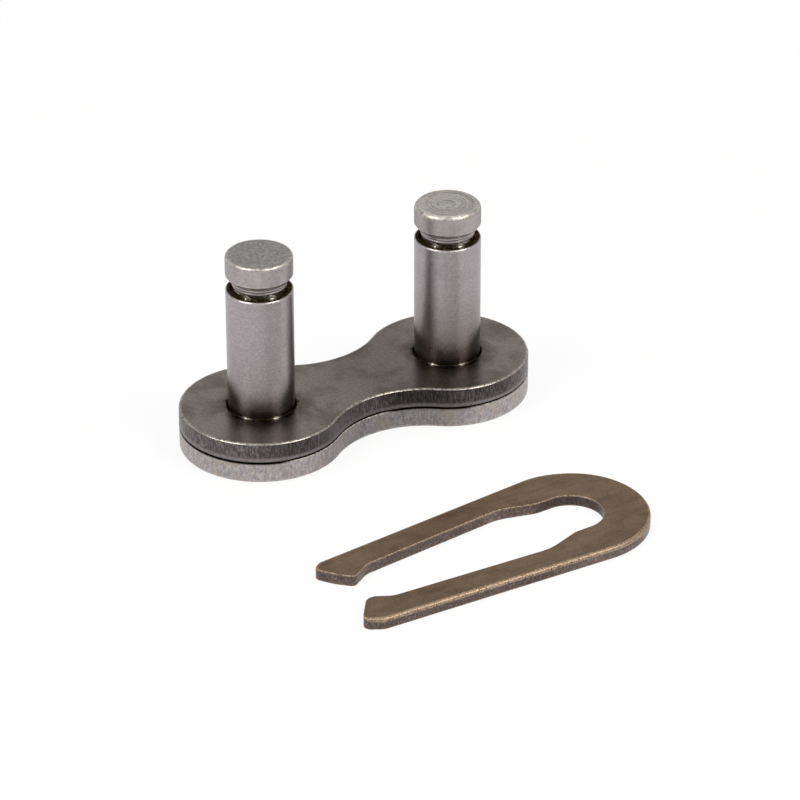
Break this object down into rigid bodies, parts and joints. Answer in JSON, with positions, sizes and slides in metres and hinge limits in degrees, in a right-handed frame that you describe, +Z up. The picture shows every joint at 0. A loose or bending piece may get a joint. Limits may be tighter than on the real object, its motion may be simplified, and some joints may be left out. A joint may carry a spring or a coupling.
{
  "type": "chain connecting link",
  "caption": "Roller chain connecting link: waisted side plate with grooved pins pressed in it, loose cover plate down on the pins, and a forked spring clip lying apart.",
  "frame": {"origin": "on the underside of the fixed plate, halfway between the pins", "axes": "+Z up along the pins, +X from the left pin to the right pin, +Y away from the loose spring clip"},
  "size_m": [0.0228, 0.0266, 0.0124],
  "materials": {
    "plate_steel": "barrelled, satin",
    "cover_steel": "dark gunmetal, semi-gloss",
    "pin_steel": "ground, satin",
    "spring_steel": "heat-tinted bronze brown, satin"
  },
  "bodies": {
    "pin_link": {"fixed_plate": "plate_steel", "left_pin": "pin_steel", "right_pin": "pin_steel", "spring_clip": "spring_steel"},
    "cover": {"cover_plate": "cover_steel"}
  },
  "joints": [
    {"name": "cover_slide", "type": "slide", "parent": "pin_link", "child": "cover", "axis": [0, 0, 1], "range_m": [0, 0.012]}
  ]
}
